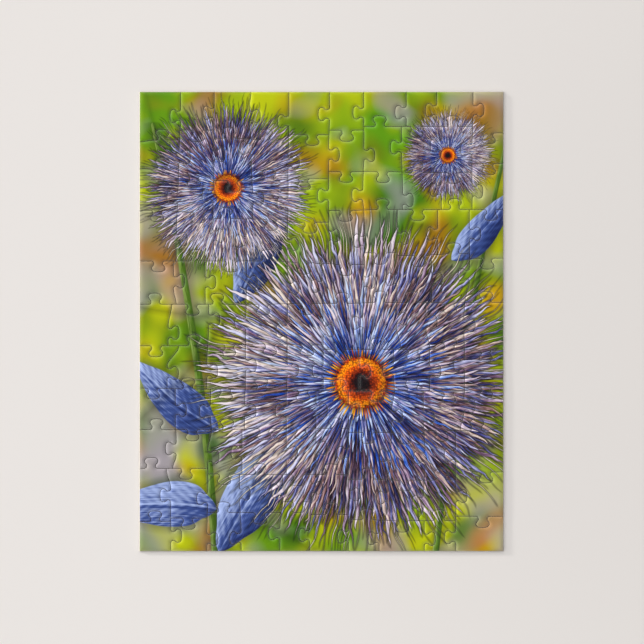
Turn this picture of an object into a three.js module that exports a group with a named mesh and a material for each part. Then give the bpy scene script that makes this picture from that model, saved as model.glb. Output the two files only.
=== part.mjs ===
// A jigsaw puzzle of 110 die-cut cardboard pieces, put together and lying flat.
// Millimetres, +Z up. +Y runs to the top of the picture and the origin is the middle of the underside.
// Each solid is two neighbouring pieces of a row, joined: 5 pairs across and 11 rows.
import * as THREE from 'three';

// Driving dimensions
const WIDTH = 202;         // of the whole puzzle, along X
const HEIGHT = 255;        // of the whole puzzle, along Y
const BOARD = 2;           // thickness of the pressed board
const GAP = 0.3;           // clear width of a cut between two solids
const PIECES_IN_SOLID = 2;
const SAME_PLACE = 1.4;    // cut ends nearer than this meet in one point

// One knob, measured from the middle of its neck on the cut line
const NECK_HALF = 2.6;     // half the width where the knob leaves the cut line
const HEAD_HALF = 3.7;
const HEAD_RISE = 4.2;     // how far out the head is widest
const CROWN_HALF = 2.5;    // half the width of its flat end
const KNOB_RISE = 6.1;     // how far the knob reaches

// The die. Places are millimetres from the left edge and down from the top edge of the picture.
// An upright cut reads x, way, y of the knob: 23L13.5 lies 23 across, and its knob points left, 13.5
// down. A level cut reads y, way, x of the knob. A cut that bends off its line towards an end adds
// a and its place at the top or left end, or z and its place at the other end.
const UPRIGHT_CUTS = [
  '23L13.5 41.5L12 61R13.5a62z62 83L16.5 105.5L12.5 124.5L12 148L11.5 165L10.5z163.5 185R10.5',
  '22R36.5 41.5R35 62L31.5 82.5R39.5 105R35 124.5R35 145.5L31 167.5L30z163 184.5L32',
  '21.5L59 41L57.5 63R59.5 82.5L62 105L57.5 124L57.5 146R60 167.5L54.5 184.5R55.5',
  '20.5R82 41R80z42.5 59.5L83 82R84.5 105R80 125L83 143R81 165.5L79 183R79',
  '19R105.5z20.5 36.5R106 59.5R105.5 82.5R109 101.5L108 124.5R105.5 143L104 162R104 183L101.5z181',
  '16R134a18 38.5R126.5 59L128.5 82L132.5 102R132.5 124L128 142.5R126z145 159R128z161 180R129.5',
  '15.5R156a22 37.5R155 59R151.5 82R154.5 102L155 122R155 141L154 161R155 180.5L151.5',
  '20R176.5 39.5L177 58.5R177 81.5L177.5 98R176.5 116R177 140R180a142 157.5R180.5 180R174z178',
  '20.5L198z18.5 38R202.5a40.5 57L200 81.5R200.5 98R197.5 116L200.5 139.5L202z137 158.5L203 175.5L201.5',
  '17.5L224a15 38L225.5 55.5R223 79.5L221.5 95.5R220 116R223.5 138L225z136.5 157.5L227.5z154.5 175.5R224.5',
  '17.5R246.5 37.5R248 56.5L247.5 78L245 94.5L246 116L246.5 133L247.5 158R248 175.5L247',
];
const LEVEL_CUTS = [
  '27U13a28 21.5D32.5 26U50.5 27U70 24D96 21.5D115 19.5U133.5 19.5D153.5 19.5U174 23D193.5',
  '43U13 47D30.5 49.5D52 49.5U72 48.5D91 44.5D114.5 44.5D135 45U154 45D174.5 40D193.5',
  '66D10 67D33 70.5U48 71D73.5 72.5D94.5 66D114.5 65.5U135 65.5D154.5 65.5U175 65.5D195',
  '94D10.5 94U31.5 94D51 94U71 95D91.5 96D114.5 89.5D134 91D155.5 90U174.5 92.5D193',
  '118U9 118D29.5 118U43.5 118D69 117.5D93 117.5U112.5 117U133.5 117U151.5 117D172 117U192.5',
  '141D9.5 141U30 140.5D50 140D72.5 140.5D93 143D111.5 143U132 143D152 143U172 143.5D192',
  '164.5D7.5 165U27 165D48 165U68z162 165.5D91 166U110.5 166D131.5 166U151.5 166.5D171.5 164D192.5z162',
  '187.5U9.5 187.5D29.5 187.5U49 187D69.5 186.5D90 187U109 189D127 189.5D147.5 188D167.5 188U187z186.5',
  '209U6.5 209D26 212D47 212.5U67 212.5D88 212.5U106.5 215U127 215.5D147 215.5U167.5 211D192a209',
  '238.5U9 236.5D27 233.5U46.5 233.5D67 227.5D88 234.5U106.5 237.5U126.5 238D146 238U166.5 235.5D190.5',
];
const ROWS = UPRIGHT_CUTS.length;
const COLUMNS = LEVEL_CUTS.length;

const boardFace = new THREE.MeshStandardMaterial({ color: 0x7f9a3c, roughness: 0.4, metalness: 0 });

// A cut's numbers out of its text
function readCut(text) {
  const numberAfter = (mark) => Number(text.match(new RegExp(`${mark}([0-9.]+)`))?.[1]);
  const line = numberAfter('^');
  return {
    line,
    start: numberAfter('a') || line,
    end: numberAfter('z') || line,
    knob: numberAfter('[LRUD]'),
    side: /[RD]/.test(text) ? 1 : -1,
  };
}

const uprights = UPRIGHT_CUTS.map((row) => row.split(' ').map(readCut));
const levels = LEVEL_CUTS.map((row) => row.split(' ').map(readCut));

// Where four pieces meet, the two level cuts or the two upright cuts miss each other, whichever are
// further apart. The ends of the four cuts there, with the outer edge as a meeting of its own kind.
function meeting(row, column) {
  const edgeX = column === 0 ? -GAP / 2 : WIDTH + GAP / 2;
  const edgeY = row === 0 ? -GAP / 2 : HEIGHT + GAP / 2;
  const atSide = column === 0 || column === COLUMNS;
  const atEnd = row === 0 || row === ROWS;
  if (atSide && atEnd) {
    return ports(edgeX, edgeX, edgeY, edgeY);
  }
  if (atSide) {
    const cut = levels[row - 1][Math.min(column, COLUMNS - 1)];
    const y = column === 0 ? cut.start : cut.end;
    return ports(edgeX, edgeX, y, y);
  }
  if (atEnd) {
    const cut = uprights[Math.min(row, ROWS - 1)][column - 1];
    const x = row === 0 ? cut.start : cut.end;
    return ports(x, x, edgeY, edgeY);
  }
  const above = uprights[row - 1][column - 1].end;
  const below = uprights[row][column - 1].start;
  const before = levels[row - 1][column - 1].end;
  const after = levels[row - 1][column].start;
  const x = (above + below) / 2;
  const y = (before + after) / 2;
  const across = Math.abs(above - below);
  const along = Math.abs(before - after);
  if (Math.max(across, along) < SAME_PLACE) {
    return ports(x, x, y, y);
  }
  return across < along ? ports(x, x, before, after) : ports(above, below, y, y);
}

// The ends of the cuts above, below, before and after a meeting, of which two and two fall together
function ports(above, below, before, after) {
  const through = above === below;
  return {
    up: new THREE.Vector2(above, Math.min(before, after)),
    down: new THREE.Vector2(below, Math.max(before, after)),
    before: new THREE.Vector2(through ? above : Math.min(above, below), before),
    after: new THREE.Vector2(through ? above : Math.max(above, below), after),
  };
}

// The knob's outline along its cut, as pairs of the place along the cut and the rise from it
function knobProfile() {
  const half = [
    [NECK_HALF, 0],
    [HEAD_HALF, HEAD_RISE],
    [CROWN_HALF, KNOB_RISE],
  ];
  return [...half.map(([along, rise]) => [-along, rise]), ...half.toReversed()];
}

// The points of a cut between two meetings, leaving out its ends
function uprightPoints(row, column) {
  const { line, knob, side } = uprights[row][column - 1];
  return knobProfile().map(([along, rise]) => new THREE.Vector2(line + side * rise, knob + along));
}

function levelPoints(row, column) {
  const { line, knob, side } = levels[row - 1][column];
  return knobProfile().map(([along, rise]) => new THREE.Vector2(knob + along, line + side * rise));
}

// The closed outline of the pieces first to last in a row, clockwise as seen on the picture
function outline(row, first, last) {
  const points = [];
  for (let column = first; column <= last; column += 1) {
    points.push(meeting(row, column).after);
    points.push(...(row === 0 ? [] : levelPoints(row, column)));
    points.push(meeting(row, column + 1).before);
  }
  points.push(meeting(row, last + 1).down);
  points.push(...(last + 1 === COLUMNS ? [] : uprightPoints(row, last + 1)));
  points.push(meeting(row + 1, last + 1).up);
  for (let column = last; column >= first; column -= 1) {
    points.push(meeting(row + 1, column + 1).before);
    points.push(...(row + 1 === ROWS ? [] : levelPoints(row + 1, column).reverse()));
    points.push(meeting(row + 1, column).after);
  }
  points.push(meeting(row + 1, first).up);
  points.push(...(first === 0 ? [] : uprightPoints(row, first).reverse()));
  points.push(meeting(row, first).down);
  return points.filter((point, i) => point.distanceTo(points[(i + 1) % points.length]) > 1e-6);
}

// The outline drawn in by a distance, each corner along the mitre of its two sides
function drawnIn(points, distance) {
  return points.map((point, i) => {
    const before = points.at(i - 1);
    const after = points[(i + 1) % points.length];
    const inward = [point.clone().sub(before), after.clone().sub(point)].map((side) => {
      side.normalize();
      return new THREE.Vector2(-side.y, side.x);
    });
    const mitre = inward[0].clone().add(inward[1]);
    return point.clone().addScaledVector(mitre, distance / (1 + inward[0].dot(inward[1])));
  });
}

// One solid: the outline turned into the part's own frame, as thick as the board
function boardSolid(row, first, last) {
  const corners = drawnIn(outline(row, first, last), GAP / 2);
  const placed = corners.map((corner) => new THREE.Vector2(corner.x - WIDTH / 2, HEIGHT / 2 - corner.y));
  return new THREE.ExtrudeGeometry(new THREE.Shape(placed), { depth: BOARD, bevelEnabled: false });
}

function twoDigits(number) {
  return String(number).padStart(2, '0');
}

const puzzle = new THREE.Group();
for (let row = 0; row < ROWS; row += 1) {
  for (let first = 0; first < COLUMNS; first += PIECES_IN_SOLID) {
    const last = first + PIECES_IN_SOLID - 1;
    const mesh = new THREE.Mesh(boardSolid(row, first, last), boardFace);
    mesh.name = `pieces_r${twoDigits(row + 1)}_c${twoDigits(first + 1)}_c${twoDigits(last + 1)}`;
    puzzle.add(mesh);
  }
}

export default puzzle;
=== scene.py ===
import math
import random
import re

import bpy
import numpy as np
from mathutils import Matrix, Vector
from mathutils.geometry import delaunay_2d_cdt


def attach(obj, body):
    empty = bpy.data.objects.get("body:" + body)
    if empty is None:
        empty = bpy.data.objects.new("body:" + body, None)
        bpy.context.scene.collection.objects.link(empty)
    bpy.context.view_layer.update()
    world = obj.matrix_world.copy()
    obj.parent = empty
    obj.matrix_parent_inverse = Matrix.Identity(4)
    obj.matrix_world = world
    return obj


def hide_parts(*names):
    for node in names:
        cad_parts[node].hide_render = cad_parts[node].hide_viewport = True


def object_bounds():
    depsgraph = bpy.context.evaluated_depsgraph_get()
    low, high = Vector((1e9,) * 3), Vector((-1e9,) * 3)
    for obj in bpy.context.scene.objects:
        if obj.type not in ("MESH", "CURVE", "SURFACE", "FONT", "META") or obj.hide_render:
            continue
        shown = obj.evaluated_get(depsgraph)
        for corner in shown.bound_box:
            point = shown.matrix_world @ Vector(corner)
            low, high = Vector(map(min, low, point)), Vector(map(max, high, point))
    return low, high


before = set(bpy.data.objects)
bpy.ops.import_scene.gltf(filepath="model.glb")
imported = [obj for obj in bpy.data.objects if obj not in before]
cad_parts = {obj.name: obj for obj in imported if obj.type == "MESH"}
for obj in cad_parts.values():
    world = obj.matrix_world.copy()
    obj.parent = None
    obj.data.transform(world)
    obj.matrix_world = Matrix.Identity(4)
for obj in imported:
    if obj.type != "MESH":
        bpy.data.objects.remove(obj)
cad_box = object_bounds()

MM = 0.001
WIDTH = (cad_box[1].x - cad_box[0].x) / MM
HEIGHT = (cad_box[1].y - cad_box[0].y) / MM
BOARD = cad_box[1].z / MM

# The die, as in the solids. An upright cut reads x, way, y of the knob: 23L13.5 lies 23 across, and its
# knob points left, 13.5 down. A level cut reads y, way, x of the knob. A cut that bends off its line
# towards an end adds a and its place at the top or left end, or z and its place at the other end.
UPRIGHT_CUTS = [
    "23L13.5 41.5L12 61R13.5a62z62 83L16.5 105.5L12.5 124.5L12 148L11.5 165L10.5z163.5 185R10.5",
    "22R36.5 41.5R35 62L31.5 82.5R39.5 105R35 124.5R35 145.5L31 167.5L30z163 184.5L32",
    "21.5L59 41L57.5 63R59.5 82.5L62 105L57.5 124L57.5 146R60 167.5L54.5 184.5R55.5",
    "20.5R82 41R80z42.5 59.5L83 82R84.5 105R80 125L83 143R81 165.5L79 183R79",
    "19R105.5z20.5 36.5R106 59.5R105.5 82.5R109 101.5L108 124.5R105.5 143L104 162R104 183L101.5z181",
    "16R134a18 38.5R126.5 59L128.5 82L132.5 102R132.5 124L128 142.5R126z145 159R128z161 180R129.5",
    "15.5R156a22 37.5R155 59R151.5 82R154.5 102L155 122R155 141L154 161R155 180.5L151.5",
    "20R176.5 39.5L177 58.5R177 81.5L177.5 98R176.5 116R177 140R180a142 157.5R180.5 180R174z178",
    "20.5L198z18.5 38R202.5a40.5 57L200 81.5R200.5 98R197.5 116L200.5 139.5L202z137 158.5L203 175.5L201.5",
    "17.5L224a15 38L225.5 55.5R223 79.5L221.5 95.5R220 116R223.5 138L225z136.5 157.5L227.5z154.5 175.5R224.5",
    "17.5R246.5 37.5R248 56.5L247.5 78L245 94.5L246 116L246.5 133L247.5 158R248 175.5L247",
]
LEVEL_CUTS = [
    "27U13a28 21.5D32.5 26U50.5 27U70 24D96 21.5D115 19.5U133.5 19.5D153.5 19.5U174 23D193.5",
    "43U13 47D30.5 49.5D52 49.5U72 48.5D91 44.5D114.5 44.5D135 45U154 45D174.5 40D193.5",
    "66D10 67D33 70.5U48 71D73.5 72.5D94.5 66D114.5 65.5U135 65.5D154.5 65.5U175 65.5D195",
    "94D10.5 94U31.5 94D51 94U71 95D91.5 96D114.5 89.5D134 91D155.5 90U174.5 92.5D193",
    "118U9 118D29.5 118U43.5 118D69 117.5D93 117.5U112.5 117U133.5 117U151.5 117D172 117U192.5",
    "141D9.5 141U30 140.5D50 140D72.5 140.5D93 143D111.5 143U132 143D152 143U172 143.5D192",
    "164.5D7.5 165U27 165D48 165U68z162 165.5D91 166U110.5 166D131.5 166U151.5 166.5D171.5 164D192.5z162",
    "187.5U9.5 187.5D29.5 187.5U49 187D69.5 186.5D90 187U109 189D127 189.5D147.5 188D167.5 188U187z186.5",
    "209U6.5 209D26 212D47 212.5U67 212.5D88 212.5U106.5 215U127 215.5D147 215.5U167.5 211D192a209",
    "238.5U9 236.5D27 233.5U46.5 233.5D67 227.5D88 234.5U106.5 237.5U126.5 238D146 238U166.5 235.5D190.5",
]
ROWS = len(UPRIGHT_CUTS)
COLUMNS = len(LEVEL_CUTS)
PIECES_IN_SOLID = 2
SAME_PLACE = 1.4           # cut ends nearer than this meet in one point

# The pressed edge of a piece
CUT = 0.05                 # clear width of a cut at the underside
LEAN = 0.085               # how far a wall leans in towards the top
RIM_LEAN = 0.22            # how much further the outer border's walls lean in
ROLL_RUN = 0.1             # the narrow roll over the top of a wall
ROLL_RISE = 0.2
PILLOW_REACH = 2.7         # how far in from the roll the face bends down
PILLOW_SLOPE = 0.38        # its slope at the roll
PILLOW_POWER = 2.0         # how fast the slope eases off inwards
PILLOW_RINGS = (0.1, 0.28, 0.5)       # insets of the rings round a face
PILLOW_GRID = 0.55         # between the points inside the rings
FOOT_BEVEL = 0.08          # the small bevel round the underside
UNEVEN = 0.08              # how far a piece's face lies off level at its ends
PIECE_REACH = 18           # from a piece's middle to the tip of a knob
SHARP_ANGLE = 40           # degrees between faces that are shaded apart
PILLOW_DROP = PILLOW_SLOPE * PILLOW_REACH / (PILLOW_POWER + 1)
FACE = BOARD - UNEVEN      # height of the level middle of a face
WALL_HEIGHT = FACE - PILLOW_DROP - ROLL_RISE

# One knob, as the half before its middle: curves of place along the cut and rise from it, each going on
# from the end of the one before
KNOB_START = (-3.7, 0)
KNOB_CURVES = [
    ((-2.9, 0), (-2.4, 0.6), (-2.4, 1.7)),
    ((-2.4, 2.5), (-3.7, 2.9), (-3.7, 4.1)),
    ((-3.7, 5.2), (-2.8, 5.9), (-1.7, 6.02)),
    ((-1.1, 6.1), (-0.6, 6.15), (0, 6.15)),
]
KNOB_CURVE_STEPS = 5
KNOB_TILT = 4.0            # degrees either way, from knob to knob
KNOB_STRETCH = 0.035       # share either way
RUN_STEP = 1.5             # longest stretch between points beside a knob
RUN_BOW = 0.22             # how far a straight stretch may bow
SHORT_RUN = 8              # a stretch shorter than this bows less
SAME_POINT = 1e-6          # corners nearer than this are one

# Where the seeds of the random numbers start, for the cuts and for the tilt of the pieces
UPRIGHT_SEED = 1000
LEVEL_SEED = 5000
TILT_SEED = 9000
SEEDS_IN_ROW = 100


def read_cut(text):
    def number_after(mark):
        found = re.search(mark + r"([0-9.]+)", text)
        return float(found.group(1)) if found else None

    line = number_after("^")
    return {
        "line": line,
        "start": number_after("a") or line,
        "end": number_after("z") or line,
        "knob": number_after("[LRUD]"),
        "side": 1 if re.search("[RD]", text) else -1,
    }


uprights = [[read_cut(cut) for cut in row.split()] for row in UPRIGHT_CUTS]
levels = [[read_cut(cut) for cut in row.split()] for row in LEVEL_CUTS]


def chance_at(first_seed, row, column):
    """Random numbers for one place on the board, the same in each run."""
    return random.Random(first_seed + SEEDS_IN_ROW * row + column)


def ports(above, below, before, after):
    """The ends of the cuts above, below, before and after a meeting."""
    through = above == below
    return {
        "up": (above, min(before, after)),
        "down": (below, max(before, after)),
        "before": (above if through else min(above, below), before),
        "after": (above if through else max(above, below), after),
    }


def meeting(row, column):
    """Where four pieces meet, the two level cuts or the two upright cuts miss each other."""
    edge_x = -CUT / 2 if column == 0 else WIDTH + CUT / 2
    edge_y = -CUT / 2 if row == 0 else HEIGHT + CUT / 2
    at_side = column in (0, COLUMNS)
    at_end = row in (0, ROWS)
    if at_side and at_end:
        return ports(edge_x, edge_x, edge_y, edge_y)
    if at_side:
        cut = levels[row - 1][min(column, COLUMNS - 1)]
        y = cut["start"] if column == 0 else cut["end"]
        return ports(edge_x, edge_x, y, y)
    if at_end:
        cut = uprights[min(row, ROWS - 1)][column - 1]
        x = cut["start"] if row == 0 else cut["end"]
        return ports(x, x, edge_y, edge_y)
    above = uprights[row - 1][column - 1]["end"]
    below = uprights[row][column - 1]["start"]
    before = levels[row - 1][column - 1]["end"]
    after = levels[row - 1][column]["start"]
    x = (above + below) / 2
    y = (before + after) / 2
    across = abs(above - below)
    along = abs(before - after)
    if max(across, along) < SAME_PLACE:
        return ports(x, x, y, y)
    return ports(x, x, before, after) if across < along else ports(above, below, y, y)


def bezier(start, handle, other, end, steps):
    """Points after the start of a cubic curve, up to its end."""
    points = []
    for step in range(1, steps + 1):
        t = step / steps
        weights = ((1 - t) ** 3, 3 * t * (1 - t) ** 2, 3 * t ** 2 * (1 - t), t ** 3)
        corners = (start, handle, other, end)
        points.append(tuple(sum(w * c[axis] for w, c in zip(weights, corners)) for axis in (0, 1)))
    return points


def knob_points(chance):
    """One knob's line, a little turned and stretched."""
    half = [KNOB_START]
    for handle, other, end in KNOB_CURVES:
        half += bezier(half[-1], handle, other, end, KNOB_CURVE_STEPS)
    line = half + [(-along, rise) for along, rise in reversed(half[:-1])]
    wide = 1 + chance.uniform(-KNOB_STRETCH, KNOB_STRETCH)
    high = 1 + chance.uniform(-KNOB_STRETCH, KNOB_STRETCH)
    tilt = math.tan(math.radians(chance.uniform(-KNOB_TILT, KNOB_TILT)))
    return [(along * wide + rise * tilt, rise * high) for along, rise in line]


def run_points(start, end, level_end, chance):
    """The nearly straight stretch between a meeting and a knob, without its two ends.
    level_end is 1 where the knob is at the end of the stretch, and 0 where it is at the start."""
    length = end[0] - start[0]
    bow = chance.uniform(-RUN_BOW, RUN_BOW) * min(1, abs(length) / SHORT_RUN)
    third = length / 3
    near = (start[0] + third, start[1] + (bow if level_end else 0))
    far = (end[0] - third, end[1] + (0 if level_end else bow))
    return bezier(start, near, far, end, max(1, round(abs(length) / RUN_STEP)))[:-1]


def cut_line(cut, start, end, chance):
    """A cut as (along, rise) from its line, between two meetings and without them."""
    knob = [(cut["knob"] + along, rise) for along, rise in knob_points(chance)]
    before = run_points(start, knob[0], 1, chance)
    after = run_points(knob[-1], end, 0, chance)
    return before + knob + after


def upright_points(row, column):
    cut = uprights[row][column - 1]
    chance = chance_at(UPRIGHT_SEED, row, column)
    start = meeting(row, column)["down"]
    end = meeting(row + 1, column)["up"]
    ends = [(y, cut["side"] * (x - cut["line"])) for x, y in (start, end)]
    return [(cut["line"] + cut["side"] * rise, along) for along, rise in cut_line(cut, *ends, chance)]


def level_points(row, column):
    cut = levels[row - 1][column]
    chance = chance_at(LEVEL_SEED, row, column)
    start = meeting(row, column)["after"]
    end = meeting(row, column + 1)["before"]
    ends = [(x, cut["side"] * (y - cut["line"])) for x, y in (start, end)]
    return [(along, cut["line"] + cut["side"] * rise) for along, rise in cut_line(cut, *ends, chance)]


def piece_outline(row, column):
    """The closed line round one piece, clockwise as seen on the picture."""
    points = [meeting(row, column)["after"]]
    points += [] if row == 0 else level_points(row, column)
    points += [meeting(row, column + 1)["before"], meeting(row, column + 1)["down"]]
    points += [] if column + 1 == COLUMNS else upright_points(row, column + 1)
    points += [meeting(row + 1, column + 1)["up"], meeting(row + 1, column + 1)["before"]]
    points += [] if row + 1 == ROWS else level_points(row + 1, column)[::-1]
    points += [meeting(row + 1, column)["after"], meeting(row + 1, column)["up"]]
    points += [] if column == 0 else upright_points(row, column)[::-1]
    points.append(meeting(row, column)["down"])
    return [Vector(p) for p, q in zip(points, points[1:] + points[:1]) if math.dist(p, q) > SAME_POINT]


def inward_ways(points):
    """For each corner, the way that one millimetre of inset moves it."""
    ways = []
    for before, point, after in zip(points[-1:] + points[:-1], points, points[1:] + points[:1]):
        sides = [(point - before).normalized(), (after - point).normalized()]
        inward = [Vector((-side.y, side.x)) for side in sides]
        ways.append((inward[0] + inward[1]) / (1 + inward[0].dot(inward[1])))
    return ways


PRINT, CARD, BACK = range(3)          # material slots of a piece
FOOT_RINGS = 3                        # rings of a piece below the top of its wall


def face_height(inset):
    """Height of the face at a distance in from the roll, for a number or an array."""
    left = np.clip(1 - inset / PILLOW_REACH, 0, 1)
    return FACE - PILLOW_DROP * left ** (PILLOW_POWER + 1)


def wall_rings(outline):
    """The rings of corners from the underside up the wall and onto the face, with their heights."""
    ways = inward_ways(outline)
    in_from_rim = [Vector(((p.x < 0) - (p.x > WIDTH), (p.y < 0) - (p.y > HEIGHT))) * RIM_LEAN
                   for p in outline]
    rings = [([p + way * (CUT / 2 + inset) for p, way in zip(outline, ways)], height)
             for inset, height in ((2 * FOOT_BEVEL, 0), (FOOT_BEVEL, 0), (0, FOOT_BEVEL))]
    top = [(0, WALL_HEIGHT)] + [(ROLL_RUN + inset, float(face_height(inset))) for inset in (0, *PILLOW_RINGS)]
    for inset, height in top:
        ring = [p + way * (CUT / 2 + LEAN + inset) + rim for p, way, rim in zip(outline, ways, in_from_rim)]
        rings.append((ring, height))
    return rings


def inner_points(ring):
    """Points of a grid inside a closed line, where the face still bends, with their distances from it."""
    starts = np.array(ring)
    ends = np.roll(starts, -1, axis=0)
    low, high = starts.min(axis=0), starts.max(axis=0)
    columns = np.arange(low[0], high[0], PILLOW_GRID)
    rows = np.arange(low[1], high[1], PILLOW_GRID * math.sqrt(3) / 2)
    grid = np.array([(x + (k % 2) * PILLOW_GRID / 2, y) for k, y in enumerate(rows) for x in columns])
    spans = ends - starts
    off = grid[:, None, :] - starts
    share = np.clip((off * spans).sum(axis=2) / (spans * spans).sum(axis=1), 0, 1)
    distance = np.linalg.norm(off - share[:, :, None] * spans, axis=2).min(axis=1)
    level = (starts[:, 1] > grid[:, None, 1]) != (ends[:, 1] > grid[:, None, 1])
    rise = np.where(spans[:, 1] == 0, 1, spans[:, 1])
    crossing = starts[:, 0] + (grid[:, None, 1] - starts[:, 1]) * spans[:, 0] / rise
    inside = (level & (grid[:, None, 0] < crossing)).sum(axis=1) % 2 == 1
    kept = inside & (distance > PILLOW_RINGS[-1] + PILLOW_GRID / 2) & (distance < PILLOW_REACH + PILLOW_GRID)
    return grid[kept], distance[kept]


def piece_mesh(name, row, column):
    outline = piece_outline(row, column)
    rings = wall_rings(outline)
    count = len(outline)
    middle = sum(outline, Vector((0, 0))) / count
    chance = chance_at(TILT_SEED, row, column)
    turn = chance.uniform(0, 2 * math.pi)
    slope = Vector((math.cos(turn), math.sin(turn))) * (UNEVEN / PIECE_REACH)
    corners = [(p, height, height >= WALL_HEIGHT) for ring, height in rings for p in ring]
    inner, distance = inner_points(rings[FOOT_RINGS + 1][0])
    corners += [(Vector(p), height, True) for p, height in zip(inner, face_height(distance))]
    places = []
    for p, height, on_face in corners:
        z = height + (slope.dot(p - middle) if on_face else 0)
        places.append(((p.x - WIDTH / 2) * MM, (HEIGHT / 2 - p.y) * MM, z * MM))
    faces, slots = [list(range(count))], [BACK]
    for ring in range(len(rings) - 1):
        slot = BACK if ring == 0 else CARD if ring < FOOT_RINGS else PRINT
        for i in range(count):
            j = (i + 1) % count
            low, high = ring * count, (ring + 1) * count
            faces.append((low + j, low + i, high + i, high + j))
            slots.append(slot)
    top = (len(rings) - 1) * count
    flat = [Vector(place[:2]) / MM for place in places[top:]]
    border = [(i, (i + 1) % count) for i in range(count)]
    triangles = delaunay_2d_cdt(flat, border, [], 1, SAME_POINT)
    sources = [source[0] for source in triangles[3]]
    for corner in triangles[2]:
        faces.append([top + sources[i] for i in corner])
        slots.append(PRINT)
    mesh = bpy.data.meshes.new(name)
    mesh.from_pydata(places, [], faces)
    mesh.polygons.foreach_set("material_index", slots)
    mesh.shade_smooth()
    mesh.set_sharp_from_angle(angle=math.radians(SHARP_ANGLE))
    mesh.validate()
    return mesh


class Wire:
    """A number or colour inside a node tree. Arithmetic on it adds Math nodes."""

    def __init__(self, tree, socket):
        self.tree = tree
        self.socket = socket

    def __add__(self, other):
        return calculate(self.tree, "ADD", self, other)

    def __sub__(self, other):
        return calculate(self.tree, "SUBTRACT", self, other)

    def __rsub__(self, other):
        return calculate(self.tree, "SUBTRACT", other, self)

    def __mul__(self, other):
        return calculate(self.tree, "MULTIPLY", self, other)

    def __truediv__(self, other):
        return calculate(self.tree, "DIVIDE", self, other)

    def __abs__(self):
        return calculate(self.tree, "ABSOLUTE", self)

    def times_plus(self, factor, term):
        return calculate(self.tree, "MULTIPLY_ADD", self, factor, term)

    def at_most(self, other):
        return calculate(self.tree, "MINIMUM", self, other)

    def at_least(self, other):
        return calculate(self.tree, "MAXIMUM", self, other)

    def eased(self, low, high):
        """Rises softly from 0 to 1 as the number goes from low to high."""
        return add_node(self.tree, "ShaderNodeMapRange", {"Value": self, "From Min": low, "From Max": high},
                        interpolation_type="SMOOTHSTEP", clamp=False)


def plug(tree, value, socket):
    if isinstance(value, Wire):
        tree.links.new(value.socket, socket)
    else:
        socket.default_value = value


def add_node(tree, kind, values, output=0, **settings):
    """Adds a node, fills the sockets named or numbered in values, and gives one of its outputs."""
    node = tree.nodes.new(kind)
    for name, setting in settings.items():
        setattr(node, name, setting)
    for key, value in values.items():
        plug(tree, value, node.inputs[key])
    return Wire(tree, node.outputs[output])


def calculate(tree, operation, *values):
    return add_node(tree, "ShaderNodeMath", dict(enumerate(values)), operation=operation)


def blend(tree, share, below, above):
    """A colour that goes from below to above as share goes from 0 to 1."""
    sockets = {0: share, 6: below, 7: above}
    return add_node(tree, "ShaderNodeMix", sockets, 2, data_type="RGBA")


def scaled(tree, colour, share):
    """A colour made darker, or lighter where share is over 1."""
    sockets = {0: share, 6: (0, 0, 0, 1), 7: colour}
    return add_node(tree, "ShaderNodeMix", sockets, 2, data_type="RGBA", clamp_factor=False)


def darkened(tree, colour, shade, left):
    """A colour that goes down to the part of it that is left as shade goes from 0 to 1."""
    sockets = {0: shade, 6: colour, 7: (left, left, left, 1)}
    return add_node(tree, "ShaderNodeMix", sockets, 2, data_type="RGBA", blend_type="MULTIPLY")


def vector(tree, x, y, z=0.0):
    return add_node(tree, "ShaderNodeCombineXYZ", {0: x, 1: y, 2: z})


def places_of(tree, place):
    node = add_node(tree, "ShaderNodeSeparateXYZ", {0: place}).socket.node
    return [Wire(tree, output) for output in node.outputs]


def parts_of(tree, colour):
    node = add_node(tree, "ShaderNodeSeparateColor", {0: colour}).socket.node
    return [Wire(tree, output) for output in node.outputs]


def noise(tree, place, scale, detail=2.0, roughness=0.5, distortion=0.0, **settings):
    sockets = {"Vector": place, "Scale": scale, "Detail": detail, "Roughness": roughness,
               "Distortion": distortion}
    return add_node(tree, "ShaderNodeTexNoise", sockets, **settings)


def curve(tree, value, points):
    """A number read off a smooth curve through points. It stays level past the curve's ends."""
    wire = add_node(tree, "ShaderNodeFloatCurve", {"Value": value})
    mapping = wire.socket.node.mapping
    mapping.use_clip = False
    mapping.extend = "HORIZONTAL"
    line = mapping.curves[0].points
    for point in points[2:]:
        line.new(*point)
    for place, point in zip(line, points):
        place.location = point
    mapping.update()
    return wire


def ramp(tree, value, stops):
    """A colour read off a scale of colours, as pairs of place and colour."""
    wire = add_node(tree, "ShaderNodeValToRGB", {0: value})
    elements = wire.socket.node.color_ramp.elements
    elements[0].position, elements[0].color = stops[0]
    elements[1].position, elements[1].color = stops[-1]
    for position, colour in stops[1:-1]:
        elements.new(position).color = colour
    return wire


def rgb(red, green, blue):
    """A linear colour from one as it shows on a screen, 0 to 255."""
    def linear(part):
        part /= 255
        return part / 12.92 if part <= 0.04045 else ((part + 0.055) / 1.055) ** 2.4
    return (linear(red), linear(green), linear(blue), 1.0)


def in_group(tree, name, colour, wires, build, *details):
    """Has build make its nodes in a group of their own, since a large tree is slow to make."""
    group = bpy.data.node_groups.new(name, "ShaderNodeTree")
    for label in wires:
        group.interface.new_socket(label, in_out="INPUT", socket_type="NodeSocketFloat")
    group.interface.new_socket("below", in_out="INPUT", socket_type="NodeSocketColor")
    group.interface.new_socket("colour", in_out="OUTPUT", socket_type="NodeSocketColor")
    entry = group.nodes.new("NodeGroupInput")
    inside = {label: Wire(group, entry.outputs[label]) for label in wires}
    result = build(group, Wire(group, entry.outputs["below"]), inside, *details)
    plug(group, result, group.nodes.new("NodeGroupOutput").inputs["colour"])
    node = tree.nodes.new("ShaderNodeGroup")
    node.node_tree = group
    for label, wire in {**wires, "below": colour}.items():
        plug(tree, wire, node.inputs[label])
    return Wire(tree, node.outputs["colour"])


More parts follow.
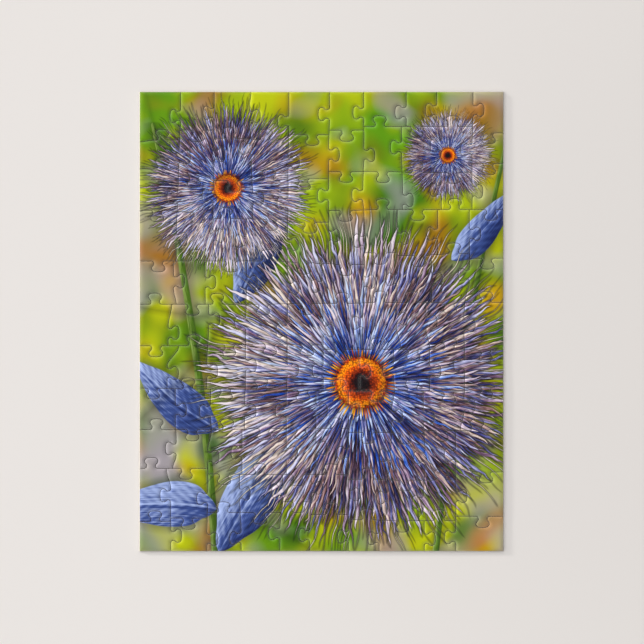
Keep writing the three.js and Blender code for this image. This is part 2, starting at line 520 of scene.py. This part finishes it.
# The picture. Its places are millimetres from its middle, +Y up.
TURN = 2 * math.pi
LIT_FROM = (-0.8, 0.6)           # where the light in the picture comes from
INK = 0.91                       # how light the picture is printed
RICHNESS = 1.18                  # how much fuller its colours are printed than they are given below

# Colours of the petals and leaves from shadow to light
MAUVE = [(0.0, rgb(18, 12, 26)), (0.35, rgb(88, 66, 86)), (0.65, rgb(140, 114, 140)),
         (0.85, rgb(186, 168, 190)), (1.0, rgb(226, 216, 222))]
SLATE = [(0.0, rgb(12, 13, 36)), (0.35, rgb(62, 64, 110)), (0.65, rgb(110, 110, 160)),
         (0.85, rgb(162, 162, 204)), (1.0, rgb(214, 214, 234))]
BROWN = [(0.0, rgb(24, 14, 18)), (0.35, rgb(100, 72, 74)), (0.65, rgb(154, 122, 122)),
         (0.85, rgb(198, 176, 172)), (1.0, rgb(232, 220, 210))]
BLUE = [(0.0, rgb(8, 10, 44)), (0.35, rgb(44, 56, 134)), (0.65, rgb(80, 106, 188)),
        (0.85, rgb(140, 164, 220)), (1.0, rgb(210, 220, 240))]
FRINGE = [(0.0, rgb(24, 28, 24)), (0.45, rgb(104, 98, 90)), (0.75, rgb(170, 160, 146)),
          (1.0, rgb(226, 218, 202))]
EMBER = [(0.0, rgb(52, 10, 4)), (0.4, rgb(186, 58, 6)), (0.7, rgb(238, 118, 20)), (1.0, rgb(255, 206, 110))]
DISC = [(0.0, rgb(6, 6, 14)), (0.3, rgb(30, 10, 14)), (0.46, rgb(132, 36, 6)), (0.66, rgb(226, 88, 8)),
        (0.84, rgb(250, 150, 34)), (1.0, rgb(160, 50, 10))]
STEM = [(0.0, rgb(22, 38, 20)), (0.5, rgb(80, 108, 46)), (1.0, rgb(170, 186, 120))]
LEAF = [(0.0, rgb(8, 10, 28)), (0.4, rgb(40, 48, 88)), (0.7, rgb(78, 92, 142)), (1.0, rgb(168, 182, 220))]

MEADOW_GREEN = rgb(78, 130, 2)
MEADOW_LIGHT = rgb(156, 178, 4)
# Where the patterns of the meadow start to show, and where they show in full
MEADOW_RANGE = (0.3, 0.7)
PATCH_RANGE = (-0.1, 0.75)
SPOT_RANGE = (0.44, 0.8)
PATCH_RAGGED = 0.9               # how ragged a patch is, against its reach
PATCH_MOST = 0.85                # how far a patch covers what is under it
# Soft patches of the meadow: place, reach, colour
MEADOW_PATCHES = [
    (-92, 112, 40, rgb(92, 144, 4)),
    (-20, 118, 46, rgb(156, 176, 0)),
    (44, 100, 46, rgb(88, 148, 2)),
    (94, 120, 34, rgb(164, 146, 138)),
    (98, 56, 36, rgb(170, 182, 0)),
    (-96, 36, 44, rgb(162, 148, 146)),
    (-26, 58, 40, rgb(116, 160, 2)),
    (-104, -26, 40, rgb(134, 158, 16)),
    (-84, -84, 60, rgb(158, 148, 156)),
    (-10, -84, 46, rgb(84, 136, 6)),
    (34, 34, 50, rgb(58, 100, 34)),
    (100, -118, 52, rgb(172, 156, 142)),
]
# Blurred spots all over it: size and shift of their pattern, how far they cover, colour
MEADOW_SPOTS = [
    (0.04, 300, 0.85, rgb(48, 96, 8)),
    (0.045, 500, 0.8, rgb(196, 200, 14)),
    (0.04, 700, 0.6, rgb(190, 112, 62)),
    (0.045, 900, 0.55, rgb(158, 150, 160)),
]

# Rings of a blossom from the back to the front: count, inner, outer, width, warp, colours
RINGS = [
    (250, 28, 96, 0.9, 0.034, FRINGE),
    (150, 20, 89, 3.0, 0.034, MAUVE),
    (170, 18, 85, 2.4, 0.036, SLATE),
    (140, 16, 80, 2.8, 0.036, BROWN),
    (150, 15, 74, 2.4, 0.040, SLATE),
    (130, 14, 69, 2.5, 0.040, MAUVE),
    (140, 13, 63, 2.1, 0.040, BROWN),
    (120, 12, 57, 2.2, 0.044, BLUE),
    (120, 11, 51, 2.0, 0.044, MAUVE),
    (104, 10, 45, 1.9, 0.046, SLATE),
    (92, 9, 39, 1.8, 0.050, BLUE),
    (80, 8, 32, 1.7, 0.050, SLATE),
    (70, 7, 26, 1.6, 0.050, BLUE),
    (72, 6, 20, 1.3, 0.040, EMBER),
]

# The disc in a blossom's middle
HEART = 13.5                     # from its middle to its border
HEART_DOME = 0.35                # how much lighter it is on the side of the light
HEART_SHADE = 0.22               # how far out it shades the petals, against its reach
HEART_LEFT = 0.25                # the light that is left there
HEART_RAGGED = 0.12              # how ragged its border is, against its reach
HEART_CRISP = 50                 # how sharp its border is
FLORET_STRAY = 0.16              # how far a floret's colour strays along the scale
FLORET_MIDDLE = 1.4              # light in the middle of a floret
FLORET_FALL = 1.6                # how fast it falls off towards the border

# Blossoms: middle, size against the rings above, turn in degrees
BLOSSOMS = [
    ((22, -34), 1.06, 0),
    ((-52, 74), 0.56, 140),
    ((70, 92), 0.3, 250),
]

# Petals. Lights are places on the scales of colours, or steps along them.
PETAL_FEATHER = 0.2              # soft border of a petal
PETAL_SHADE = 0.9                # how far out a petal shades what is under it
PETAL_LEFT = 0.26                # the light that is left there
PETAL_STRAY = 0.5                # how far petals lie off even spacing, against the room for one
PETAL_SHORTEST = 0.66            # the shortest petal against the longest
PETAL_NARROWEST = 0.3            # half the width of the narrowest petal against the ring's width
PETAL_WIDENING = 0.25            # how much more the widest has
PETAL_TONES = 0.75               # how much the petals of a ring differ in light
PETAL_STRANDS = 1.7              # how strongly the strands along a petal show
PETAL_LEVEL = -0.86              # brings tones and strands back to the middle of the scale
PETAL_ROUND = 0.24               # how much darker the sides of a petal are
PETAL_FACING = 0.3               # how much lighter it is on the side of the light
STRANDS_ACROSS = 1.6             # places of the strands' pattern over half a petal, and along it
STRANDS_ALONG = 0.06
STRANDS_SHIFT = 7.3              # between the patterns of two petals
SHADE_DEPTH = 0.8                # share of the full shade at the border of a petal or leaf

# How the petals of the rings are spread
FIRST_CELL = 100                 # keeps the numbers of petals above zero
RING_TURN = 0.37                 # from ring to ring, in petals
WARP_TURN = 2.4                  # from ring to ring, in radians
RING_SEEDS = 500                 # between the random numbers of two rings
BROAD_WARP = 0.035               # size of the pattern that bends whole rings
CLUMP_WARP = 0.11                # and of the one that draws petals into clumps
CLUMP_SHARE = 0.3                # how strong the second is
BLOSSOM_SHIFT = 31               # between the patterns of two blossoms

# A blossom's light: more to the side of the light, by patches, and over all
BLOSSOM_SLOPE = 0.0026
BLOSSOM_PATCHES = 0.7
BLOSSOM_LEVEL = 0.2

# A petal's half width from its root to past its tip, and how light it is there
PETAL_SHAPE = [(0, 0.3), (0.22, 0.86), (0.5, 1), (0.8, 0.66), (0.94, 0.3), (1, 0), (1.03, -1), (1.12, -8)]
PETAL_LIGHT = [(0, -0.5), (0.25, -0.06), (0.6, 0.02), (1, 0.3)]

# Leaves and stems: foot, way in degrees, length, width, bend, colours
LEAVES = [
    ((-58, -140), 93, 250, 5, 22, STEM),
    ((62, -140), 84, 262, 4, -18, STEM),
    ((-57, -60), 152, 60, 24, -12, LEAF),
    ((-58, -104), 168, 62, 26, 14, LEAF),
    ((-57, -128), 62, 112, 30, -14, LEAF),
    ((-48, 10), 60, 78, 22, 12, LEAF),
    ((72, 34), 38, 52, 18, 10, LEAF),
]
LEAF_SHAPE = [(0, 0), (0.1, 0.5), (0.35, 1), (0.62, 0.82), (0.85, 0.4), (1, 0), (1.06, -0.4)]
STEM_SHAPE = [(0, 1), (0.9, 0.7), (1, 0.6), (1.01, -1)]
LEAF_SHADE_RISE = 0.17           # how fast the shade under a leaf rises, to a millimetre
LEAF_LEFT = 0.5                  # the light that is left in it
LEAF_CRISP = 2.5                 # how sharp a leaf's border is
LEAF_FACING = 0.3                # how much lighter it is on the side of the light
LEAF_GRAIN = 0.6                 # how strongly its grain shows
LEAF_LEVEL = 0.2                 # its light over all
GRAIN_ALONG = 0.05               # places of the grain's pattern to a millimetre, along and across
GRAIN_ACROSS = 0.6
RIB_HALF = 1.2                   # half the width of the middle rib
RIB_LIGHT = 0.16
VEIN_LIGHT = 0.05
VEIN_SLANT = -1.5                # how the side veins run out and on, in radians to a millimetre
VEIN_PITCH = 1.1
WAVE_LIGHT = 0.12                # slow waves along a leaf
WAVE_PITCH = 5.0                 # in radians over its length
FOLD_HALF = 0.12                 # the dark fold by the rib, against the leaf's half width
FOLD_LIGHT = 2.0


def petal_ring(tree, colour, field, number, ring):
    """One ring of narrow petals round a blossom's middle, laid over the colour below."""
    count, inner, outer, width, warp, colours = ring
    reach = field["reach"]
    turns = count * warp / outer
    cell = field["angle"].times_plus(count, FIRST_CELL + number * RING_TURN)
    cell = field["broad"].times_plus(turns * math.cos(number * WARP_TURN), cell)
    cell = field["clumps"].times_plus(turns * math.sin(number * WARP_TURN), cell)
    index = calculate(tree, "MODULO", calculate(tree, "FLOOR", cell), count)
    seed = vector(tree, index + RING_SEEDS * number, field["blossom"])
    chance = add_node(tree, "ShaderNodeTexWhiteNoise", {"Vector": seed}, "Color", noise_dimensions="2D")
    first, second, third = parts_of(tree, chance)
    span = outer - inner
    along = (reach - inner) / first.times_plus((1 - PETAL_SHORTEST) * span, PETAL_SHORTEST * span)
    off = second.times_plus(PETAL_STRAY, calculate(tree, "FRACT", cell)) - (1 + PETAL_STRAY) / 2
    off *= reach * (TURN / count)
    half = curve(tree, along, PETAL_SHAPE)
    half *= third.times_plus(PETAL_WIDENING * width, PETAL_NARROWEST * width)
    edge = half - abs(off)
    shade = edge.times_plus(SHADE_DEPTH / PETAL_SHADE, SHADE_DEPTH)
    below = darkened(tree, colour, shade, PETAL_LEFT)
    across = off / half
    strand = vector(tree, across.times_plus(STRANDS_ACROSS, index * STRANDS_SHIFT), field["strand"])
    streak = noise(tree, strand, 2.2, detail=2.0, roughness=0.6, noise_dimensions="2D")
    light = third.times_plus(PETAL_TONES, streak.times_plus(PETAL_STRANDS, PETAL_LEVEL))
    light += curve(tree, along, PETAL_LIGHT)
    light = across.times_plus(across.times_plus(-PETAL_ROUND, field["facing"]), light)
    petal = ramp(tree, light + field["slope"], colours)
    return blend(tree, edge * (1 / PETAL_FEATHER), below, petal)


def heart(tree, colour, field):
    """The disc of small florets in a blossom's middle, laid over the colour below."""
    x, y = field["x"], field["y"]
    out = field["reach"] / HEART
    place = vector(tree, x, y)
    florets = add_node(tree, "ShaderNodeTexVoronoi", {"Vector": place, "Scale": 0.95, "Randomness": 0.75},
                       voronoi_dimensions="2D")
    picks = Wire(tree, florets.socket.node.outputs["Color"])
    pick = parts_of(tree, picks)[0]
    disc = ramp(tree, pick.times_plus(FLORET_STRAY, out - FLORET_STRAY / 2), DISC)
    dome = (x * LIT_FROM[0] + y * LIT_FROM[1]).times_plus(HEART_DOME / HEART, 1)
    disc = scaled(tree, disc, (FLORET_MIDDLE - florets * FLORET_FALL) * dome)
    below = darkened(tree, colour, (1 + HEART_SHADE - out) / HEART_SHADE, HEART_LEFT)
    inside = pick.times_plus(HEART_RAGGED, 1 - HEART_RAGGED / 2 - out)
    return blend(tree, inside * HEART_CRISP, below, disc)


def nearest_blossom(tree, across, up):
    """Places measured from the middle of the nearest blossom, in its own size, and that blossom's number.
    All blossoms are then one drawing, with other petals in each."""
    chosen = None
    for number, ((x, y), size, turn) in enumerate(BLOSSOMS):
        x_off, y_off = (across - x) / size, (up - y) / size
        reach = y_off.times_plus(y_off, x_off * x_off)
        cosine, sine = math.cos(math.radians(turn)), math.sin(math.radians(turn))
        offer = (x_off.times_plus(cosine, y_off * sine), x_off.times_plus(-sine, y_off * cosine),
                 float(number), reach)
        if chosen is None:
            chosen = offer
            continue
        nearer = calculate(tree, "LESS_THAN", reach, chosen[3])
        chosen = [nearer.times_plus(new - old, old) for old, new in zip(chosen, offer)]
    return chosen[:3]


def blossoms(tree, colour, across, up):
    """Every blossom, ring by ring from the back to the front, with its heart last."""
    x, y, blossom = nearest_blossom(tree, across, up)
    reach = calculate(tree, "SQRT", y.times_plus(y, x * x))
    place = vector(tree, x, y, blossom * BLOSSOM_SHIFT)
    broad = noise(tree, place, BROAD_WARP, detail=1.0) - 0.5
    clumps = noise(tree, place, CLUMP_WARP, detail=1.0) - 0.5
    towards_light = x * LIT_FROM[0] + y * LIT_FROM[1]
    field = {
        "reach": reach,
        "blossom": blossom,
        "angle": calculate(tree, "ARCTAN2", y, x) / TURN,
        "broad": broad * reach,
        "clumps": clumps * reach * CLUMP_SHARE,
        "strand": reach * STRANDS_ALONG,
        "facing": (x * LIT_FROM[1] - y * LIT_FROM[0]) / reach * PETAL_FACING,
        "slope": towards_light.times_plus(BLOSSOM_SLOPE, broad.times_plus(BLOSSOM_PATCHES, BLOSSOM_LEVEL)),
    }
    for number, ring in enumerate(RINGS):
        colour = in_group(tree, f"ring_{number}", colour, field, petal_ring, number, ring)
    return in_group(tree, "heart", colour, {"x": x, "y": y, "reach": reach}, heart)


def leaf(tree, colour, field, shape):
    """One leaf or stem from its foot to its tip, laid over the colour below."""
    (foot_x, foot_y), way, length, width, bend, colours = shape
    x, y = field["across"] - foot_x, field["up"] - foot_y
    way_x, way_y = math.cos(math.radians(way)), math.sin(math.radians(way))
    along = x.times_plus(way_x / length, y * (way_y / length))
    off = y.times_plus(way_x, x * -way_y)
    off = (along * along).times_plus(-bend, off)
    outline = STEM_SHAPE if colours is STEM else LEAF_SHAPE
    half = curve(tree, along, outline) * (width / 2)
    edge = half - abs(off)
    below = darkened(tree, colour, edge.times_plus(LEAF_SHADE_RISE, SHADE_DEPTH), LEAF_LEFT)
    across_leaf = off / half
    facing = LIT_FROM[1] * way_x - LIT_FROM[0] * way_y
    place = vector(tree, along * (length * GRAIN_ALONG), off * GRAIN_ACROSS)
    grain = noise(tree, place, 2.0, detail=3.0, roughness=0.6, noise_dimensions="2D")
    light = grain.times_plus(LEAF_GRAIN, LEAF_LEVEL)
    light = across_leaf.times_plus(facing * LEAF_FACING, light)
    if colours is LEAF:
        rib = RIB_HALF - abs(off)
        vein = calculate(tree, "SINE", abs(off).times_plus(VEIN_SLANT, along * length * VEIN_PITCH))
        light = vein.times_plus(VEIN_LIGHT, light)
        light += calculate(tree, "SINE", along.times_plus(WAVE_PITCH, length)) * WAVE_LIGHT
        light += abs(across_leaf - FOLD_HALF).at_most(FOLD_HALF) * FOLD_LIGHT
        light += rib.at_least(0) * RIB_LIGHT
    painted = ramp(tree, light, colours)
    return blend(tree, edge * LEAF_CRISP, below, painted)


def meadow(tree, colour, field):
    """A meadow far out of focus, laid over a plain colour."""
    across, up = field["across"], field["up"]
    place = vector(tree, across, up)
    broad = noise(tree, place, 0.022, detail=1.5, distortion=0.4)
    ragged = noise(tree, place, 0.035, detail=1.0).times_plus(-PATCH_RAGGED, 1 + PATCH_RAGGED / 2)
    colour = blend(tree, broad.eased(*MEADOW_RANGE), colour, MEADOW_LIGHT)
    for x, y, reach, patch in MEADOW_PATCHES:
        x_off, y_off = across - x, up - y
        way = calculate(tree, "SQRT", y_off.times_plus(y_off, x_off * x_off))
        share = way.times_plus(-1 / reach, ragged).eased(*PATCH_RANGE) * PATCH_MOST
        colour = blend(tree, share, colour, patch)
    for scale, shift, most, spot in MEADOW_SPOTS:
        spots = noise(tree, vector(tree, across + shift, up), scale, detail=0.4, distortion=0.2)
        colour = blend(tree, spots.eased(*SPOT_RANGE) * most, colour, spot)
    return colour


def picture(tree):
    """The printed picture: shaggy blossoms and slate-blue leaves in front of a green meadow."""
    place = add_node(tree, "ShaderNodeTexCoord", {}, "Object")
    across, up = (wire / MM for wire in places_of(tree, place)[:2])
    field = {"across": across, "up": up}
    colour = in_group(tree, "meadow", MEADOW_GREEN, field, meadow)
    for number, shape in enumerate(LEAVES):
        colour = in_group(tree, f"leaf_{number}", colour, field, leaf, shape)
    painted = blossoms(tree, colour, across, up)
    return add_node(tree, "ShaderNodeHueSaturation", {"Saturation": RICHNESS, "Value": INK, "Color": painted})


def new_material(name):
    material = bpy.data.materials.new(name)
    material.use_nodes = True
    tree = material.node_tree
    return material, tree, tree.nodes["Principled BSDF"]


def print_material():
    """The picture under a semi-gloss varnish."""
    material, tree, shader = new_material("printed_face")
    plug(tree, picture(tree), shader.inputs["Base Color"])
    shader.inputs["Roughness"].default_value = 0.36
    shader.inputs["Specular IOR Level"].default_value = 0.4
    shader.inputs["Coat Weight"].default_value = 0.3
    shader.inputs["Coat Roughness"].default_value = 0.2
    return material


# The cut edge, in millimetres
FACE_PAPER = (0.3, 0.22)         # below the top of the wall, where the white face starts and is full
BACK_PAPER = (0.2, 0.26)         # above the underside, where the white back thins out and ends
PAPER_WAVER = 0.12               # how far these borders waver
FIBRES_LEVEL = 6                 # how much flatter than wide the fibres are
# The flecks of the underside: where their pattern starts to show and shows in full, and how strongly
FLECK_RANGE = (0.66, 0.74)
FLECK_MOST = 0.5


def card_material():
    """The cut edge: grey board between a white face and a white back, torn a little by the die."""
    material, tree, shader = new_material("cut_card")
    place = add_node(tree, "ShaderNodeTexCoord", {}, "Object")
    x, y, z = (wire / MM for wire in places_of(tree, place))
    fibres = noise(tree, vector(tree, x, y, z * FIBRES_LEVEL), 1.4, detail=4.0, roughness=0.6)
    grey = blend(tree, fibres, rgb(136, 129, 118), rgb(176, 169, 157))
    waver = (noise(tree, vector(tree, x, y), 0.8) - 0.5) * PAPER_WAVER
    on_face = (z + waver).eased(*(WALL_HEIGHT - depth for depth in FACE_PAPER))
    off_back = (z + waver).eased(*BACK_PAPER)
    colour = blend(tree, off_back, rgb(196, 191, 182), grey)
    colour = blend(tree, on_face, colour, rgb(200, 195, 187))
    plug(tree, colour, shader.inputs["Base Color"])
    shader.inputs["Roughness"].default_value = 0.9
    bump = tree.nodes.new("ShaderNodeBump")
    bump.inputs["Strength"].default_value = 0.5
    bump.inputs["Distance"].default_value = 0.1 * MM
    plug(tree, fibres, bump.inputs["Height"])
    tree.links.new(bump.outputs[0], shader.inputs["Normal"])
    return material


def back_material():
    """The bare underside: pale recycled board with flecks."""
    material, tree, shader = new_material("board_back")
    place = add_node(tree, "ShaderNodeTexCoord", {}, "Object")
    cloud = noise(tree, place, 60.0, detail=3.0)
    fleck = noise(tree, place, 1800.0, detail=1.0).eased(*FLECK_RANGE)
    colour = blend(tree, cloud, rgb(196, 190, 178), rgb(212, 206, 195))
    colour = blend(tree, fleck * FLECK_MOST, colour, rgb(128, 120, 108))
    plug(tree, colour, shader.inputs["Base Color"])
    shader.inputs["Roughness"].default_value = 0.85
    return material


def make_pieces():
    materials = (print_material(), card_material(), back_material())
    board = bpy.data.collections.new("board")
    for row in range(ROWS):
        for column in range(COLUMNS):
            name = f"piece_r{row + 1:02d}_c{column + 1:02d}"
            mesh = piece_mesh(name, row, column)
            for material in materials:
                mesh.materials.append(material)
            piece = bpy.data.objects.new(name, mesh)
            bpy.context.scene.collection.objects.link(piece)
            board.objects.link(piece)
            first = column - column % PIECES_IN_SOLID + 1
            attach(piece, "root")
            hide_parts(f"pieces_r{row + 1:02d}_c{first:02d}_c{first + 1:02d}")
    return board


# The ground, in metres, with painted shade: its colour is darker round a place to the right, standing in for
# the light falling off away from the lamps
FLOOR_REACH = 60.0
PAINTED_SHADE_PLACE = 0.34                 # how far to the right its darkest tone lies
PAINTED_SHADE_RANGE = (0.15, 0.5)          # away from there, where it starts to get lighter and stays level


def make_floor():
    mesh = bpy.data.meshes.new("floor")
    corners = [(x * FLOOR_REACH, y * FLOOR_REACH, 0) for x, y in ((-1, -1), (1, -1), (1, 1), (-1, 1))]
    mesh.from_pydata(corners, [], [(0, 1, 2, 3)])
    material, tree, shader = new_material("pale_ground")
    place = add_node(tree, "ShaderNodeTexCoord", {}, "Object")
    x, y, _ = places_of(tree, place)
    away = calculate(tree, "SQRT", (x - PAINTED_SHADE_PLACE) * (x - PAINTED_SHADE_PLACE) + y * y)
    # painted shade: the ground is darkest near that place and lighter and level further away
    colour = blend(tree, away.eased(*PAINTED_SHADE_RANGE), rgb(227, 222, 217), rgb(237, 232, 227))
    plug(tree, colour, shader.inputs["Base Color"])
    shader.inputs["Roughness"].default_value = 0.9
    mesh.materials.append(material)
    floor = bpy.data.objects.new("floor", mesh)
    bpy.context.scene.collection.objects.link(floor)


def aim(thing, at, target):
    thing.location = at
    thing.rotation_euler = (Vector(target) - Vector(at)).to_track_quat("-Z", "Y").to_euler()


FRAME_PIXELS = 644         # width of the photograph
BOARD_PIXELS = 364.6       # width of the board in it
BOARD_OFF = (-0.5, 0.5)    # pixels that the board lies off the frame's middle, right and up
CAMERA_HEIGHT = 1.3        # metres above the floor
SENSOR = 36                # millimetres across
LIGHT_TURN = 153.0         # degrees from the picture's right, anticlockwise, where the light comes from
LIGHT_WIDTH = 6.0          # degrees across, as seen from the board
KEY_RISE = 14.0            # degrees above the floor
KEY_STRENGTH = 1.4
RELIEF_RISE = 12.0         # a second light, on the board alone
RELIEF_STRENGTH = 4.2
SKY = 1.42                 # brightness of the sky's band
SKY_LEAN = 0.45            # how much brighter it is on the light's side
SKY_CAP = 0.02             # how bright the sky is straight above, against the band
SKY_LOW = 0.15             # and near the horizon
BAND_FOOT = (0.25, 0.6)    # heights on a sky of radius 1 where the band starts and is full
BAND_TOP = (0.8, 0.95)     # and where it starts to end and has ended


def make_camera():
    data = bpy.data.cameras.new("camera")
    seen = WIDTH * MM * FRAME_PIXELS / BOARD_PIXELS
    data.sensor_width = SENSOR
    data.lens = SENSOR * (CAMERA_HEIGHT - BOARD * MM) / seen
    camera = bpy.data.objects.new("camera", data)
    camera.location = [-off * seen / FRAME_PIXELS for off in BOARD_OFF] + [CAMERA_HEIGHT]
    bpy.context.scene.collection.objects.link(camera)
    bpy.context.scene.camera = camera


def make_sky():
    """A studio's light, in a high band that is brighter on one side, behind a plain backdrop."""
    world = bpy.data.worlds.new("studio")
    world.use_nodes = True
    tree = world.node_tree
    way = add_node(tree, "ShaderNodeTexCoord", {}, "Generated")
    x, y, z = places_of(tree, way)
    turn = math.radians(LIGHT_TURN)
    side = (x * math.cos(turn) + y * math.sin(turn)).times_plus(SKY_LEAN, 1)
    top = z.eased(*BAND_TOP).times_plus(SKY_CAP - 1, 1)
    foot = z.eased(*BAND_FOOT).times_plus(1 - SKY_LOW, SKY_LOW)
    light = scaled(tree, (0.985, 0.985, 1.0, 1), side * top * foot * SKY)
    seen = add_node(tree, "ShaderNodeLightPath", {}, "Is Camera Ray")
    colour = blend(tree, seen, light, rgb(234, 229, 224))
    plug(tree, colour, tree.nodes["Background"].inputs["Color"])
    bpy.context.scene.world = world


def make_light(name, rise, strength):
    """A far light on the bright side of the sky."""
    data = bpy.data.lights.new(name, "SUN")
    data.angle = math.radians(LIGHT_WIDTH)
    data.energy = strength
    data.color = (1.0, 0.985, 0.96)
    light = bpy.data.objects.new(name, data)
    turn, rise = math.radians(LIGHT_TURN), math.radians(rise)
    away = Vector((math.cos(turn) * math.cos(rise), math.sin(turn) * math.cos(rise), math.sin(rise)))
    aim(light, away, (0, 0, 0))
    bpy.context.scene.collection.objects.link(light)
    return light


make_camera()
board = make_pieces()
make_floor()
make_sky()
make_light("key", KEY_RISE, KEY_STRENGTH)
relief = make_light("relief", RELIEF_RISE, RELIEF_STRENGTH)
relief.visible_glossy = False
relief.light_linking.receiver_collection = board
bpy.context.scene.view_settings.view_transform = "Standard"
